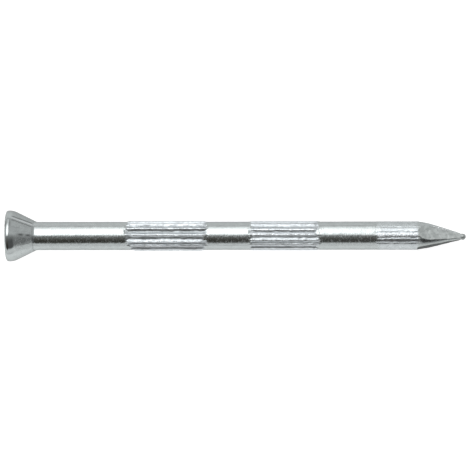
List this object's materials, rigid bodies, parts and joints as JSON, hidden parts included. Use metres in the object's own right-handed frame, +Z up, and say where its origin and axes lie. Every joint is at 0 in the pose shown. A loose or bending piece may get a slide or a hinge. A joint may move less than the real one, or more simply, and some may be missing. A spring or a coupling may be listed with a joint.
{
  "type": "masonry nail",
  "caption": "Hardened steel masonry nail with a countersunk head, straight-knurled bands along its shank and a four-sided pinched point.",
  "frame": {"origin": "centre of the flat struck face, on the nail's axis", "axes": "+X along the nail from the struck face towards the point; the nail lies level, with +Z up and one ridge of each knurl near the top"},
  "size_m": [0.06, 0.0066, 0.0066],
  "materials": {
    "zinc_plate": "bright zinc plate over drawn and pressed steel, faintly mottled",
    "knurled_zinc": "frosty zinc plate on rolled ridges, darker in the grooves",
    "pinched_zinc": "satin grey zinc plate over sheared and pinched steel"
  },
  "bodies": {
    "root": {"head_face": "zinc_plate", "head_cone": "zinc_plate", "upper_shank": "zinc_plate", "upper_knurl": "knurled_zinc", "middle_shank": "zinc_plate", "middle_knurl": "knurled_zinc", "lower_shank": "zinc_plate", "lower_knurl": "knurled_zinc", "point": "pinched_zinc"}
  },
  "joints": []
}
